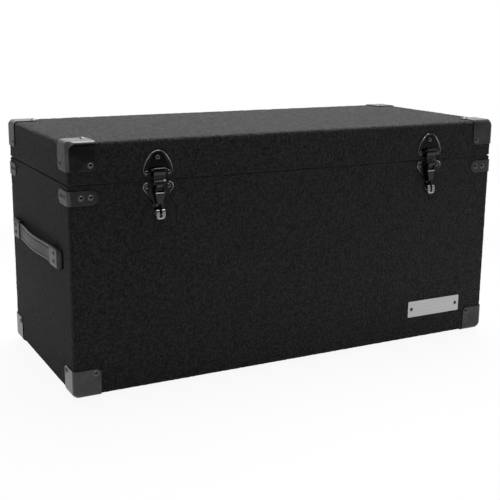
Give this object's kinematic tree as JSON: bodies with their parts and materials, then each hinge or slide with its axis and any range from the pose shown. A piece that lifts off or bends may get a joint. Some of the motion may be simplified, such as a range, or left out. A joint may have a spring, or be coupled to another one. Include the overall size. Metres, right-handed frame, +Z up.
{
  "type": "record carrying case",
  "caption": "Carpeted plywood record trunk with a hinged lid, steel corners, two draw latches and a strap handle on each end.",
  "frame": {"origin": "on the floor, midway along and across the case", "axes": "+X to the right along the front, +Y from the front to the hinged back, +Z up"},
  "size_m": [0.8198, 0.3633, 0.4056],
  "materials": {
    "carpet": "looped black case carpet",
    "plywood": "bare birch plywood",
    "bare_ply": "bare birch plywood, sanded",
    "foam": "charcoal foam",
    "rubber": "matt black moulded rubber",
    "fitting_steel": "nickel-plated pressed steel",
    "rivet_steel": "nickel-plated steel",
    "latch_steel": "satin black lacquered pressed steel",
    "dark_rivet": "satin black lacquered steel",
    "bright_zinc": "bright nickel-plated zinc casting",
    "hinge_steel": "zinc-plated pressed steel",
    "strap": "grained grey vinyl",
    "name_plate": "brushed, bare"
  },
  "bodies": {
    "base": {"base_bottom_panel": "plywood", "base_front_panel": "plywood", "base_back_panel": "plywood", "base_left_panel": "plywood", "base_right_panel": "plywood", "base_carpet": "carpet", "floor_pad": "foam", "divider_board": "bare_ply", "divider_rails": "bare_ply", "base_corners": "fitting_steel", "base_corner_rivets": "rivet_steel", "edge_brackets": "fitting_steel", "bracket_rivets": "rivet_steel", "latch_base_left": "latch_steel", "latch_base_right": "latch_steel", "latch_pivot_left": "latch_steel", "latch_pivot_right": "latch_steel", "padlock_staple_left": "bright_zinc", "padlock_staple_right": "bright_zinc", "latch_base_rivets": "dark_rivet", "hinge_body_leaf_left": "hinge_steel", "hinge_body_leaf_right": "hinge_steel", "hinge_pin_left": "hinge_steel", "hinge_pin_right": "hinge_steel", "hinge_body_rivets": "rivet_steel", "handle_caps_left": "fitting_steel", "handle_caps_right": "fitting_steel", "handle_strap_left": "strap", "handle_strap_right": "strap", "handle_screws": "rivet_steel", "name_plate": "name_plate", "name_plate_screws": "rivet_steel", "rubber_feet": "rubber", "foot_screws": "rivet_steel"},
    "lid": {"lid_top_panel": "plywood", "lid_front_rail": "plywood", "lid_back_rail": "plywood", "lid_left_rail": "plywood", "lid_right_rail": "plywood", "lid_carpet": "carpet", "lid_pad": "foam", "lid_corners": "fitting_steel", "lid_corner_rivets": "rivet_steel", "latch_keeper_left": "latch_steel", "latch_keeper_right": "latch_steel", "latch_keeper_rivets": "dark_rivet", "hinge_lid_leaf_left": "hinge_steel", "hinge_lid_leaf_right": "hinge_steel", "hinge_lid_rivets": "rivet_steel"},
    "lever_left": {"latch_lever_left": "latch_steel", "latch_link_pin_left": "latch_steel"},
    "lever_right": {"latch_lever_right": "latch_steel", "latch_link_pin_right": "latch_steel"},
    "hook_left": {"latch_hook_left": "latch_steel"},
    "hook_right": {"latch_hook_right": "latch_steel"}
  },
  "joints": [
    {"name": "lid_hinge", "type": "hinge", "parent": "base", "child": "lid", "pos_m": [0, 0.1746, 0.338], "axis": [-1, 0, 0], "range_deg": [0, 105]},
    {"name": "lever_left", "type": "hinge", "parent": "base", "child": "lever_left", "pos_m": [-0.257, -0.177, 0.3345], "axis": [-1, 0, 0], "range_deg": [0, 90]},
    {"name": "hook_left", "type": "hinge", "parent": "lever_left", "child": "hook_left", "pos_m": [-0.257, -0.1756, 0.325], "axis": [-1, 0, 0], "range_deg": [-90, 0]},
    {"name": "lever_right", "type": "hinge", "parent": "base", "child": "lever_right", "pos_m": [0.257, -0.177, 0.3345], "axis": [-1, 0, 0], "range_deg": [0, 90]},
    {"name": "hook_right", "type": "hinge", "parent": "lever_right", "child": "hook_right", "pos_m": [0.257, -0.1756, 0.325], "axis": [-1, 0, 0], "range_deg": [-90, 0]}
  ],
  "couplings": [
    {"joint": "hook_left", "follows": "lever_left", "ratio": -1},
    {"joint": "hook_right", "follows": "lever_right", "ratio": -1}
  ]
}
